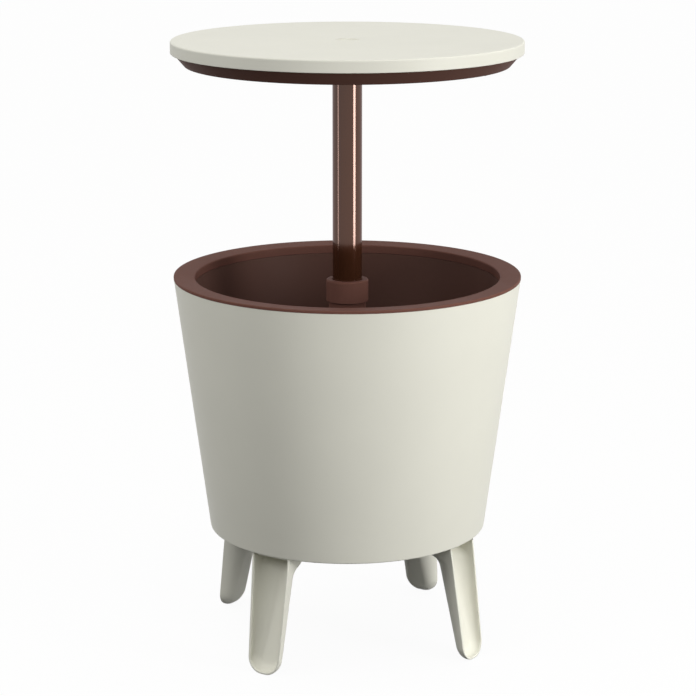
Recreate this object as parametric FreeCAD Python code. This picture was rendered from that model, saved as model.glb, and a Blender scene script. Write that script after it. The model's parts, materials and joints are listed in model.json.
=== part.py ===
import FreeCAD, Part
import math
import os

from FreeCAD import Vector

# A round patio table whose top lifts on a centre pole off an ice bucket on four legs.
# Millimetres, +Z up. The origin is on the floor, under the middle of the pole.
# The table top is modelled raised and locked.

# Table top
TOP_RADIUS = 247.5
TOP_SHEET = 3.0
SKIRT_HEIGHT = 17.2
SKIRT_WALL = 2.6
TOP_EDGE_ROUND = 2.4
SKIRT_EDGE_ROUND = 0.8
CAP_RADIUS = 16.0
CAP_DEPTH = 2.4
CAP_DISH = 1.2
CAP_CLEARANCE = 0.2

# Tray under the table top
TRAY_DROP = 17.6
TRAY_TAPER = 19.5
TRAY_SHEET = 3.0
TRAY_TOP_TUCK = 4.4
TRAY_LIP = 9.0
TRAY_EDGE_ROUND = 3.0
NIB_AZIMUTH = -35.4
NIB_WIDTH = 4.0
NIB_HEIGHT = 2.6
NIB_PROUD = 1.2
TRAY_SCREW_COUNT = 8
TRAY_SCREW_INSET = 44.0
TRAY_BOSS_RADIUS = 5.5

# Centre pole
POLE_RADIUS = 21.0
POLE_WALL = 2.0
PLUG_LENGTH = 20.0
PLUG_FLANGE = 3.0
PLUG_FLANGE_OVERHANG = 5.0
HUB_FLANGE_RADIUS = 56.0
HUB_FLANGE = 4.0
HUB_WALL = 5.0
HUB_SCREW_COUNT = 6
HUB_SCREW_CIRCLE = 46.0

# Bolt that holds the cover down to the pole
BOLT_RADIUS = 4.0
BOLT_HEAD_RADIUS = 6.5
BOLT_HEAD_HEIGHT = 4.2
BOLT_SOCKET_RADIUS = 2.6
BOLT_REACH = 14.0
COVER_BOSS_RADIUS = 22.0
COVER_BOSS_FLOOR = 5.0

# Twist lock at the foot of the pole
SLEEVE_LENGTH = 30.0
SLEEVE_SPLIT = 2.0
SPINDLE_RADIUS = 10.0
SPINDLE_PLUG_LENGTH = 24.0
KEY_WIDTH = 4.0
KEY_PROUD = 1.0
LOCK_WASHER_RADIUS = 18.0
LOCK_WASHER = 2.5
LOCK_SCREW_RADIUS = 3.0
LOCK_SCREW_HEAD_RADIUS = 7.0
LOCK_SCREW_HEAD = 4.0
LOCK_SCREW_REACH = 20.0

# Guide that the pole slides in
GUIDE_BORE_RADIUS = 23.5
GUIDE_WALL = 3.0
GUIDE_FLANGE_RADIUS = 42.0
GUIDE_FLANGE = 4.0
GUIDE_SEAL = 2.0
GUIDE_NUT_RADIUS = 38.0
GUIDE_NUT = 9.0
GUIDE_NUT_SIDES = 8
COLLAR_LENGTH = 15.5
COLLAR_WALL = 3.4
COLLAR_SKIRT = 16.0
COLLAR_ROUND = 2.4
COLLAR_SET_DOWN = 6.0
FOOT_PLATE = 4.0
FOOT_RADIUS = 46.0
FOOT_CUP_WALL = 3.4
FOOT_CUP_HEIGHT = 8.0
FOOT_SCREW_COUNT = 4
FOOT_SCREW_CIRCLE = 38.0

# Bucket rim
RIM_WIDTH = 30.0
RIM_FALL = 2.0
RIM_LIP_HEIGHT = 4.3
RIM_LIP_PROUD = 0.35
RIM_PLATE = 3.0
RIM_COLLAR_DEPTH = 12.0
RIM_COLLAR_WALL = 3.0
RIM_RIB_DEPTH = 9.0
RIM_RIB_WALL = 3.0
RIM_OUTER_ROUND = 1.5
RIM_INNER_ROUND = 2.0
RIM_SCREW_COUNT = 8
RIM_SCREW_INSET = 14.0
RIM_BOSS_RADIUS = 4.0
RIM_PILOT_COVER = 1.4

# Outer shell
SHELL_DRAW_IN = 48.0
SHELL_HEIGHT = 366.2
SHELL_WALL = 3.0
SHELL_FLOOR = 3.5
SHELL_EDGE_ROUND = 2.6
SHELL_BOSS_RADIUS = 5.5
SHELL_BOSS_HEIGHT = 13.0

# Bucket liner
LINER_WALL = 3.0
LINER_GAP_AT_FLOOR = 24.0
LINER_FLOOR_GAP = 29.5
LINER_FLANGE = 17.0
LINER_CORNER_ROUND = 20.0

# Drain
DRAIN_DISTANCE = 120.0
DRAIN_AZIMUTH = 102.2
SUMP_RADIUS = 27.0
SUMP_DEPTH = 6.0
DRAIN_BORE_RADIUS = 8.0
DRAIN_WALL = 3.0
DRAIN_FLANGE_RADIUS = 20.0
DRAIN_FLANGE = 2.5
DRAIN_GASKET = 1.5
DRAIN_NUT_RADIUS = 18.0
DRAIN_NUT = 9.0
DRAIN_SPOUT = 3.0
PLUG_SHANK = 22.0
PLUG_HEAD_RADIUS = 13.5
PLUG_HEAD = 3.0
PLUG_GRIP_HEIGHT = 11.0
PLUG_GRIP_WIDTH = 20.0
PLUG_GRIP_THICKNESS = 4.0
PLUG_RING = 2.4
PLUG_RING_DEPTH = 1.8
PLUG_RING_SET_BACK = 8.0

# Legs
LEG_HEIGHT = 169.0
LEG_COUNT = 4
LEG_AZIMUTH = -33.3
LEG_SET_IN = 1.0
LEG_SPLAY = 20.7
LEG_WIDTH = 51.5
LEG_TOP_DEPTH = 35.5
LEG_FOOT_DEPTH = 15.0
LEG_WALL = 3.0
LEG_PLATE = 4.0
LEG_BACK_ROUND = 12.0
LEG_TOP_ROUND = 4.0
LEG_RIM_ROUND = 1.0
LEG_FOOT_FLAT = 7.0
LEG_FLARE_DROP = 23.5
LEG_FLARE_RISE = 11.5
LEG_FLARE_REACH = 26.5
LEG_FLARE_ROUND = 14.0
LEG_FLANGE_ROUND = 16.0
LEG_SCREW_SET_IN = 16.5
LEG_SCREW_SPACING = 24.0

# Screws
SCREW_RADIUS = 1.9
SCREW_HEAD_RADIUS = 3.8
SCREW_HEAD = 2.4
SCREW_SLOT = 1.1
SCREW_SLOT_LENGTH = 4.4
SCREW_SLOT_DEPTH = 1.1
SCREW_REACH = 11.0
RIM_SCREW_REACH = 4.6
HEX_SIDES = 6

# Clearances
SLIDE_CLEARANCE = 0.3
SEAT_CLEARANCE = 0.2
HOLE_CLEARANCE = 0.5
THREAD_CLEARANCE = 0.1
RING_CLEARANCE = 0.05
BOTTOM_CLEARANCE = 3.0
CUT_MARGIN = 1.0
NEAR = 0.001

# Levels, worked out upwards from the floor
SHELL_TOP = LEG_HEIGHT + SHELL_HEIGHT
FLOOR_TOP = LEG_HEIGHT + SHELL_FLOOR
RIM_OUTER_TOP = SHELL_TOP + RIM_LIP_HEIGHT
RIM_INNER_TOP = RIM_OUTER_TOP - RIM_FALL
RIM_UNDERSIDE = RIM_INNER_TOP - RIM_PLATE
LINER_FLOOR_BOTTOM = FLOOR_TOP + LINER_FLOOR_GAP
LINER_FLOOR_TOP = LINER_FLOOR_BOTTOM + LINER_WALL
GUIDE_BOTTOM = FLOOR_TOP + FOOT_PLATE
COLLAR_TOP = RIM_INNER_TOP - COLLAR_SET_DOWN
GUIDE_TOP = COLLAR_TOP - COLLAR_LENGTH

# Radii
SHELL_BOTTOM_RADIUS = TOP_RADIUS - SHELL_DRAW_IN
RIM_OUTER_RADIUS = TOP_RADIUS + RIM_LIP_PROUD
RIM_OPENING_RADIUS = TOP_RADIUS - RIM_WIDTH
TRAY_FLAT_RADIUS = TOP_RADIUS - TRAY_TAPER
GUIDE_OUTER_RADIUS = GUIDE_BORE_RADIUS + GUIDE_WALL
POLE_BORE_RADIUS = POLE_RADIUS - POLE_WALL
SLEEVE_RADIUS = GUIDE_BORE_RADIUS - SLIDE_CLEARANCE
LEG_TOP_RADIUS = SHELL_BOTTOM_RADIUS - LEG_SET_IN
DRAIN_TUBE_RADIUS = DRAIN_BORE_RADIUS + DRAIN_WALL

# The lock's levels with the table top down, and the lift that the guide leaves it
LOCK_SCREW_LOW = GUIDE_BOTTOM + BOTTOM_CLEARANCE
SLEEVE_LOW = LOCK_SCREW_LOW + LOCK_SCREW_HEAD + LOCK_WASHER + SLIDE_CLEARANCE
LIFT = GUIDE_TOP - SLIDE_CLEARANCE - SLEEVE_LENGTH - SLEEVE_LOW

# The same levels with the table top up
SLEEVE_BOTTOM = SLEEVE_LOW + LIFT
SLEEVE_TOP = SLEEVE_BOTTOM + SLEEVE_LENGTH
POLE_BOTTOM = SLEEVE_TOP + SLIDE_CLEARANCE


def rim_level(radius):
    """Height of the rim's sloping top at a radius."""
    share = (radius - RIM_OPENING_RADIUS) / (RIM_OUTER_RADIUS - RIM_OPENING_RADIUS)
    return RIM_INNER_TOP + share * RIM_FALL


def shell_radius(level):
    """Outer radius of the shell's cone at a height."""
    share = (level - LEG_HEIGHT) / SHELL_HEIGHT
    return SHELL_BOTTOM_RADIUS + share * (TOP_RADIUS - SHELL_BOTTOM_RADIUS)


TRAY_BOTTOM = rim_level(TRAY_FLAT_RADIUS) + SLIDE_CLEARANCE + LIFT
TRAY_INSIDE = TRAY_BOTTOM + TRAY_SHEET
SKIRT_BOTTOM = TRAY_BOTTOM + TRAY_DROP
TOP_LEVEL = SKIRT_BOTTOM + SKIRT_HEIGHT
COVER_UNDERSIDE = TOP_LEVEL - TOP_SHEET
BOLT_SEAT = TOP_LEVEL - CAP_DEPTH - BOLT_HEAD_HEIGHT - SLIDE_CLEARANCE
COVER_BOSS_BOTTOM = BOLT_SEAT - COVER_BOSS_FLOOR
POLE_TOP = COVER_BOSS_BOTTOM - PLUG_FLANGE


def eased_wire(corners):
    """Closed wire in the XZ plane through (x, z, round) corners, each eased by its own radius."""
    count = len(corners)
    points = [Vector(x, 0, z) for x, z, radius in corners]
    stretches = []
    for index, here in enumerate(points):
        radius = corners[index][2]
        back = (points[index - 1] - here).normalize()
        ahead = (points[(index + 1) % count] - here).normalize()
        if radius <= 0:
            stretches.append((here, None, here))
            continue
        half_angle = back.getAngle(ahead) / 2
        reach = radius / math.tan(half_angle)
        inwards = (back + ahead).normalize()
        middle = here + inwards * (radius / math.sin(half_angle) - radius)
        stretches.append((here + back * reach, middle, here + ahead * reach))
    edges = []
    for index, (start, middle, end) in enumerate(stretches):
        if middle is not None:
            edges.append(Part.Arc(start, middle, end).toShape())
        following = stretches[(index + 1) % count][0]
        if end.distanceToPoint(following) > NEAR:
            edges.append(Part.LineSegment(end, following).toShape())
    return Part.Wire(edges)


def turned(corners):
    """Solid of revolution about Z from (radius, z, round) corners."""
    return Part.Face(eased_wire(corners)).revolve(Vector(0, 0, 0), Vector(0, 0, 1), 360)


def rod(radius, bottom, top, x=0.0, y=0.0):
    """Upright round bar."""
    return Part.makeCylinder(radius, top - bottom, Vector(x, y, bottom))


def tube(outer, inner, bottom, top, x=0.0, y=0.0):
    """Upright tube."""
    bore = rod(inner, bottom - CUT_MARGIN, top + CUT_MARGIN, x, y)
    return rod(outer, bottom, top, x, y).cut(bore)


def block(x_from, x_to, y_from, y_to, bottom, top):
    """Box between two corners."""
    return Part.makeBox(x_to - x_from, y_to - y_from, top - bottom, Vector(x_from, y_from, bottom))


def flat_sided(corner_radius, bottom, top, sides):
    """Upright bar with flat sides."""
    ring = [Vector(x, y, bottom) for x, y in around(sides, corner_radius)]
    face = Part.Face(Part.makePolygon(ring + [ring[0]]))
    return face.extrude(Vector(0, 0, top - bottom))


def nut(corner_radius, bore, bottom, top, sides):
    """Upright nut."""
    hole = rod(bore, bottom - CUT_MARGIN, top + CUT_MARGIN)
    return flat_sided(corner_radius, bottom, top, sides).cut(hole)


def around(count, radius, first=0.0):
    """Points spaced evenly on a circle, the first at an angle in degrees."""
    angles = [math.radians(first + 360.0 * k / count) for k in range(count)]
    return [(radius * math.cos(angle), radius * math.sin(angle)) for angle in angles]


def screw_from_below(x, y, seat, reach=SCREW_REACH):
    """Pan-head screw driven upwards, its head under the seat and a cross slot in the head."""
    head = turned([(0, seat - SCREW_HEAD, 0), (SCREW_HEAD_RADIUS, seat - SCREW_HEAD, SCREW_HEAD / 2),
                   (SCREW_HEAD_RADIUS, seat, 0), (0, seat, 0)])
    head = head.fuse(rod(SCREW_RADIUS - THREAD_CLEARANCE, seat, seat + reach)).removeSplitter()
    half = SCREW_SLOT / 2
    arm = SCREW_SLOT_LENGTH / 2
    slot_top = seat - SCREW_HEAD + SCREW_SLOT_DEPTH
    slot_low = seat - SCREW_HEAD - CUT_MARGIN
    cross = block(-arm, arm, -half, half, slot_low, slot_top)
    cross = cross.fuse(block(-half, half, -arm, arm, slot_low, slot_top))
    screw = head.cut(cross)
    screw.translate(Vector(x, y, 0))
    return screw


def drilled(shape, places, radius, bottom, top):
    """Shape with round upright holes at the places."""
    return shape.cut([rod(radius, bottom, top, x, y) for x, y in places])


def export(shape, node):
    """Write one named piece, or one named group of like pieces."""
    shape.exportStep(os.path.join("parts", node + ".step"))
    count = len(shape.Solids)
    print("%-22s solids %2d  valid %s  volume %.1f" % (node, count, shape.isValid(), shape.Volume))


# Places shared by the holes, bosses and screws
TRAY_SCREWS = around(TRAY_SCREW_COUNT, TOP_RADIUS - TRAY_SCREW_INSET)
HUB_SCREWS = around(HUB_SCREW_COUNT, HUB_SCREW_CIRCLE)
FOOT_SCREWS = around(FOOT_SCREW_COUNT, FOOT_SCREW_CIRCLE)
RIM_SCREWS = around(RIM_SCREW_COUNT, RIM_OPENING_RADIUS + RIM_SCREW_INSET)
DRAIN_PLACE = around(1, DRAIN_DISTANCE, DRAIN_AZIMUTH)[0]
LEG_ANGLES = [LEG_AZIMUTH + 360.0 * k / LEG_COUNT for k in range(LEG_COUNT)]


def leg_screw_places():
    """Two screws for each leg, side by side behind its front face."""
    distance = LEG_TOP_RADIUS - LEG_SCREW_SET_IN
    offset = LEG_SCREW_SPACING / 2
    places = []
    for angle in LEG_ANGLES:
        cosine = math.cos(math.radians(angle))
        sine = math.sin(math.radians(angle))
        for side in (-offset, offset):
            places.append((distance * cosine - side * sine, distance * sine + side * cosine))
    return places


LEG_SCREWS = leg_screw_places()


def table_top_cover():
    """White moulded cover: a flat face, a deep skirt, a centre boss and the tray's screw bosses."""
    inner = TOP_RADIUS - SKIRT_WALL
    shape = turned([
        (0, TOP_LEVEL, 0),
        (TOP_RADIUS, TOP_LEVEL, TOP_EDGE_ROUND),
        (TOP_RADIUS, SKIRT_BOTTOM, SKIRT_EDGE_ROUND),
        (inner, SKIRT_BOTTOM, SKIRT_EDGE_ROUND),
        (inner, COVER_UNDERSIDE, SKIRT_EDGE_ROUND),
        (0, COVER_UNDERSIDE, 0)])
    overlap = COVER_UNDERSIDE + TOP_SHEET / 2
    bosses = [rod(TRAY_BOSS_RADIUS, TRAY_INSIDE, overlap, x, y) for x, y in TRAY_SCREWS]
    bosses.append(rod(COVER_BOSS_RADIUS, COVER_BOSS_BOTTOM, overlap))
    shape = shape.fuse(bosses).removeSplitter()
    shape = drilled(shape, TRAY_SCREWS, SCREW_RADIUS, TRAY_INSIDE - CUT_MARGIN,
                    TRAY_INSIDE + SCREW_REACH)
    recess = rod(CAP_RADIUS + CAP_CLEARANCE, TOP_LEVEL - CAP_DEPTH, TOP_LEVEL + CUT_MARGIN)
    head_room = rod(BOLT_HEAD_RADIUS + HOLE_CLEARANCE, BOLT_SEAT, TOP_LEVEL)
    hole = rod(BOLT_RADIUS + HOLE_CLEARANCE, COVER_BOSS_BOTTOM - CUT_MARGIN, TOP_LEVEL)
    return shape.cut([recess, head_room, hole])


def centre_cap():
    """Round cap over the bolt, level with the table top and dished in the middle."""
    bottom = TOP_LEVEL - CAP_DEPTH
    edge = CAP_RADIUS - CAP_DEPTH
    dish = TOP_LEVEL - CAP_DISH
    return turned([(0, bottom, 0), (CAP_RADIUS, bottom, 0), (CAP_RADIUS, TOP_LEVEL, CAP_CLEARANCE),
                   (edge, TOP_LEVEL, CAP_CLEARANCE), (edge / 2, dish, CAP_RADIUS / 2), (0, dish, 0)])


def centre_bolt():
    """Socket-head bolt through the cover into the plug in the pole."""
    head_top = BOLT_SEAT + BOLT_HEAD_HEIGHT
    head = rod(BOLT_HEAD_RADIUS, BOLT_SEAT, head_top)
    shank = rod(BOLT_RADIUS, COVER_BOSS_BOTTOM - BOLT_REACH, BOLT_SEAT)
    socket = flat_sided(BOLT_SOCKET_RADIUS, BOLT_SEAT + BOLT_HEAD_HEIGHT / 2,
                        head_top + CUT_MARGIN, HEX_SIDES)
    return head.fuse(shank).removeSplitter().cut(socket)


def table_tray():
    """Brown dished tray closing the cover from below, with a nib on its lower edge."""
    lip = TOP_RADIUS - SKIRT_WALL - SLIDE_CLEARANCE
    shoulder = TOP_RADIUS - TRAY_TOP_TUCK
    lip_top = SKIRT_BOTTOM + TRAY_LIP
    lip_start = SKIRT_BOTTOM + TRAY_SHEET
    hole = POLE_RADIUS + SEAT_CLEARANCE
    shape = turned([
        (hole, TRAY_BOTTOM, 0),
        (TRAY_FLAT_RADIUS, TRAY_BOTTOM, TRAY_EDGE_ROUND),
        (shoulder, SKIRT_BOTTOM, 0),
        (lip, lip_start, 0),
        (lip, lip_top, 0),
        (lip - TRAY_SHEET, lip_top, 0),
        (lip - TRAY_SHEET, lip_start, 0),
        (shoulder - TRAY_SHEET, SKIRT_BOTTOM, 0),
        (TRAY_FLAT_RADIUS - TRAY_SHEET, TRAY_INSIDE, TRAY_EDGE_ROUND),
        (hole, TRAY_INSIDE, 0)])
    nib_low = TRAY_BOTTOM + SEAT_CLEARANCE
    nib = block(TRAY_FLAT_RADIUS - TRAY_EDGE_ROUND, TRAY_FLAT_RADIUS + NIB_PROUD,
                -NIB_WIDTH / 2, NIB_WIDTH / 2, nib_low, nib_low + NIB_HEIGHT)
    nib.rotate(Vector(0, 0, 0), Vector(0, 0, 1), NIB_AZIMUTH)
    shape = shape.fuse(nib)
    holes = TRAY_SCREWS + HUB_SCREWS
    return drilled(shape, holes, SCREW_RADIUS + THREAD_CLEARANCE, TRAY_BOTTOM - CUT_MARGIN,
                   TRAY_INSIDE + CUT_MARGIN)


def pole_hub():
    """Flanged socket inside the tray that grips the top of the pole."""
    bore = POLE_RADIUS + THREAD_CLEARANCE
    outer = bore + HUB_WALL
    flange_top = TRAY_INSIDE + HUB_FLANGE
    boss_top = TRAY_INSIDE + SCREW_REACH
    shape = turned([
        (bore, TRAY_INSIDE, 0),
        (HUB_FLANGE_RADIUS, TRAY_INSIDE, 0),
        (HUB_FLANGE_RADIUS, flange_top, 0),
        (outer, flange_top, HUB_FLANGE / 2),
        (outer, POLE_TOP, 0),
        (bore, POLE_TOP, 0)])
    bosses = [rod(TRAY_BOSS_RADIUS, TRAY_INSIDE, boss_top, x, y) for x, y in HUB_SCREWS]
    shape = shape.fuse(bosses).removeSplitter()
    return drilled(shape, HUB_SCREWS, SCREW_RADIUS, TRAY_INSIDE - CUT_MARGIN, boss_top - CUT_MARGIN)


def pole_tube():
    """Round metal tube that carries the table top."""
    return tube(POLE_RADIUS, POLE_BORE_RADIUS, POLE_BOTTOM, POLE_TOP)


def pole_top_plug():
    """Plug in the pole's top end, with a flange over the pole and the hub."""
    body = POLE_BORE_RADIUS - THREAD_CLEARANCE
    shape = turned([
        (0, POLE_TOP - PLUG_LENGTH, 0),
        (body, POLE_TOP - PLUG_LENGTH, 0),
        (body, POLE_TOP, 0),
        (POLE_RADIUS + PLUG_FLANGE_OVERHANG, POLE_TOP, 0),
        (POLE_RADIUS + PLUG_FLANGE_OVERHANG, COVER_BOSS_BOTTOM, 0),
        (0, COVER_BOSS_BOTTOM, 0)])
    hole_bottom = COVER_BOSS_BOTTOM - BOLT_REACH - CUT_MARGIN
    return shape.cut(rod(BOLT_RADIUS + THREAD_CLEARANCE, hole_bottom, TOP_LEVEL))


def lock_spindle():
    """Plug in the pole's foot, with a neck down through the lock sleeve."""
    body = POLE_BORE_RADIUS - THREAD_CLEARANCE
    neck_bottom = SLEEVE_BOTTOM - SLIDE_CLEARANCE
    shape = turned([
        (0, neck_bottom, 0),
        (SPINDLE_RADIUS, neck_bottom, 0),
        (SPINDLE_RADIUS, POLE_BOTTOM, 0),
        (body, POLE_BOTTOM, 0),
        (body, POLE_BOTTOM + SPINDLE_PLUG_LENGTH, 0),
        (0, POLE_BOTTOM + SPINDLE_PLUG_LENGTH, 0)])
    pilot_top = neck_bottom + LOCK_SCREW_REACH + CUT_MARGIN
    return shape.cut(rod(LOCK_SCREW_RADIUS + THREAD_CLEARANCE, neck_bottom - CUT_MARGIN, pilot_top))


def lock_washer():
    """Washer that keeps the sleeve on the spindle."""
    top = SLEEVE_BOTTOM - SLIDE_CLEARANCE
    return tube(LOCK_WASHER_RADIUS, LOCK_SCREW_RADIUS + HOLE_CLEARANCE, top - LOCK_WASHER, top)


def lock_screw():
    """Screw up through the washer into the spindle."""
    top = SLEEVE_BOTTOM - SLIDE_CLEARANCE
    seat = top - LOCK_WASHER
    head = rod(LOCK_SCREW_HEAD_RADIUS, seat - LOCK_SCREW_HEAD, seat)
    shank = rod(LOCK_SCREW_RADIUS, seat, top + LOCK_SCREW_REACH)
    socket = flat_sided(LOCK_SCREW_RADIUS, seat - LOCK_SCREW_HEAD - CUT_MARGIN,
                        seat - LOCK_SCREW_HEAD / 2, HEX_SIDES)
    return head.fuse(shank).removeSplitter().cut(socket)


def lock_sleeve():
    """Split plastic sleeve that spreads in the guide, keyed so that it can't turn there."""
    shape = tube(SLEEVE_RADIUS, SPINDLE_RADIUS + SLIDE_CLEARANCE, SLEEVE_BOTTOM, SLEEVE_TOP)
    key = block(SLEEVE_RADIUS - KEY_PROUD, SLEEVE_RADIUS + KEY_PROUD, -KEY_WIDTH / 2, KEY_WIDTH / 2,
                SLEEVE_BOTTOM, SLEEVE_TOP)
    split = block(-GUIDE_OUTER_RADIUS, 0, -SLEEVE_SPLIT / 2, SLEEVE_SPLIT / 2,
                  SLEEVE_BOTTOM - CUT_MARGIN, SLEEVE_TOP + CUT_MARGIN)
    return shape.fuse(key).removeSplitter().cut(split)


def guide_tube():
    """Tube standing in the bucket that the pole slides in, with a flange on the bucket's floor."""
    flange_bottom = LINER_FLOOR_TOP + GUIDE_SEAL
    flange_top = flange_bottom + GUIDE_FLANGE
    shape = turned([
        (GUIDE_BORE_RADIUS, GUIDE_BOTTOM, 0),
        (GUIDE_OUTER_RADIUS, GUIDE_BOTTOM, 0),
        (GUIDE_OUTER_RADIUS, flange_bottom, 0),
        (GUIDE_FLANGE_RADIUS, flange_bottom, 0),
        (GUIDE_FLANGE_RADIUS, flange_top, GUIDE_FLANGE / 2),
        (GUIDE_OUTER_RADIUS, flange_top, GUIDE_FLANGE),
        (GUIDE_OUTER_RADIUS, GUIDE_TOP, 0),
        (GUIDE_BORE_RADIUS, GUIDE_TOP, 0)])
    half = KEY_WIDTH / 2 + SLIDE_CLEARANCE
    groove = block(0, SLEEVE_RADIUS + KEY_PROUD + SLIDE_CLEARANCE, -half, half,
                   GUIDE_BOTTOM - CUT_MARGIN, GUIDE_TOP + CUT_MARGIN)
    return shape.cut(groove)


def guide_collar():
    """Cap on the guide that centres the pole and stops the sleeve at the top of its travel."""
    bore = POLE_RADIUS + SLIDE_CLEARANCE
    skirt_bore = GUIDE_OUTER_RADIUS + SEAT_CLEARANCE
    outer = skirt_bore + COLLAR_WALL
    skirt_bottom = GUIDE_TOP - COLLAR_SKIRT
    return turned([
        (bore, GUIDE_TOP, 0),
        (skirt_bore, GUIDE_TOP, 0),
        (skirt_bore, skirt_bottom, 0),
        (outer, skirt_bottom, SKIRT_EDGE_ROUND),
        (outer, COLLAR_TOP, COLLAR_ROUND),
        (bore, COLLAR_TOP, SKIRT_EDGE_ROUND)])


def guide_seal():
    """Rubber ring under the guide's flange."""
    return tube(GUIDE_FLANGE_RADIUS, GUIDE_OUTER_RADIUS + THREAD_CLEARANCE, LINER_FLOOR_TOP,
                LINER_FLOOR_TOP + GUIDE_SEAL)


def guide_nut():
    """Nut that draws the guide's flange down on the bucket's floor from underneath."""
    return nut(GUIDE_NUT_RADIUS, GUIDE_OUTER_RADIUS + THREAD_CLEARANCE,
               LINER_FLOOR_BOTTOM - GUIDE_NUT, LINER_FLOOR_BOTTOM, GUIDE_NUT_SIDES)


def guide_foot():
    """Cup on the shell's floor that the guide stands in."""
    cup_bore = GUIDE_OUTER_RADIUS + SEAT_CLEARANCE
    cup_top = GUIDE_BOTTOM + FOOT_CUP_HEIGHT
    shape = turned([
        (0, FLOOR_TOP, 0),
        (FOOT_RADIUS, FLOOR_TOP, 0),
        (FOOT_RADIUS, GUIDE_BOTTOM, 0),
        (cup_bore + FOOT_CUP_WALL, GUIDE_BOTTOM, 0),
        (cup_bore + FOOT_CUP_WALL, cup_top, 0),
        (cup_bore, cup_top, 0),
        (cup_bore, GUIDE_BOTTOM, 0),
        (0, GUIDE_BOTTOM, 0)])
    bosses = [rod(SHELL_BOSS_RADIUS, FLOOR_TOP, cup_top, x, y) for x, y in FOOT_SCREWS]
    shape = shape.fuse(bosses).removeSplitter()
    bore = rod(cup_bore, GUIDE_BOTTOM, cup_top + CUT_MARGIN)
    shape = shape.cut(bore)
    return drilled(shape, FOOT_SCREWS, SCREW_RADIUS, FLOOR_TOP - CUT_MARGIN, cup_top - CUT_MARGIN)


def rim_ring():
    """Brown ring over the bucket's edge: a lip on the shell, a collar inside and a hidden rib."""
    collar_bottom = RIM_INNER_TOP - RIM_COLLAR_DEPTH
    rib_bottom = SHELL_TOP - RIM_RIB_DEPTH
    rib_top_radius = shell_radius(SHELL_TOP) - SHELL_WALL - SLIDE_CLEARANCE
    rib_low_radius = shell_radius(rib_bottom) - SHELL_WALL - SLIDE_CLEARANCE
    collar_outer = RIM_OPENING_RADIUS + RIM_COLLAR_WALL
    shape = turned([
        (RIM_OPENING_RADIUS, collar_bottom, SKIRT_EDGE_ROUND),
        (collar_outer, collar_bottom, SKIRT_EDGE_ROUND),
        (collar_outer, RIM_UNDERSIDE, 0),
        (rib_low_radius - RIM_RIB_WALL, RIM_UNDERSIDE, 0),
        (rib_low_radius - RIM_RIB_WALL, rib_bottom, 0),
        (rib_low_radius, rib_bottom, 0),
        (rib_top_radius, SHELL_TOP, 0),
        (RIM_OUTER_RADIUS, SHELL_TOP, 0),
        (RIM_OUTER_RADIUS, RIM_OUTER_TOP, RIM_OUTER_ROUND),
        (RIM_OPENING_RADIUS, RIM_INNER_TOP, RIM_INNER_ROUND)])
    flange_bottom = RIM_UNDERSIDE - LINER_WALL
    boss_bottom = flange_bottom + SLIDE_CLEARANCE
    bosses = [rod(RIM_BOSS_RADIUS, boss_bottom, RIM_UNDERSIDE + CUT_MARGIN, x, y) for x, y in RIM_SCREWS]
    shape = shape.fuse(bosses).removeSplitter()
    pilot_top = RIM_INNER_TOP - RIM_PILOT_COVER + SLIDE_CLEARANCE
    return drilled(shape, RIM_SCREWS, SCREW_RADIUS, boss_bottom - CUT_MARGIN, pilot_top)


def outer_shell():
    """White tapered shell with a closed floor and the bosses that the leg screws bite in."""
    floor_inner = shell_radius(FLOOR_TOP) - SHELL_WALL
    shape = turned([
        (0, LEG_HEIGHT, 0),
        (SHELL_BOTTOM_RADIUS, LEG_HEIGHT, SHELL_EDGE_ROUND),
        (TOP_RADIUS, SHELL_TOP, 0),
        (TOP_RADIUS - SHELL_WALL, SHELL_TOP, 0),
        (floor_inner, FLOOR_TOP, SHELL_EDGE_ROUND),
        (0, FLOOR_TOP, 0)])
    boss_top = FLOOR_TOP + SHELL_BOSS_HEIGHT
    bosses = [rod(SHELL_BOSS_RADIUS, FLOOR_TOP - CUT_MARGIN, boss_top, x, y) for x, y in LEG_SCREWS]
    shape = shape.fuse(bosses).removeSplitter()
    low = LEG_HEIGHT - CUT_MARGIN
    shape = drilled(shape, LEG_SCREWS, SCREW_RADIUS, low, boss_top - CUT_MARGIN)
    shape = drilled(shape, FOOT_SCREWS, SCREW_RADIUS + THREAD_CLEARANCE, low, FLOOR_TOP + CUT_MARGIN)
    return drilled(shape, [DRAIN_PLACE], DRAIN_TUBE_RADIUS + HOLE_CLEARANCE, low,
                   FLOOR_TOP + CUT_MARGIN)


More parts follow.
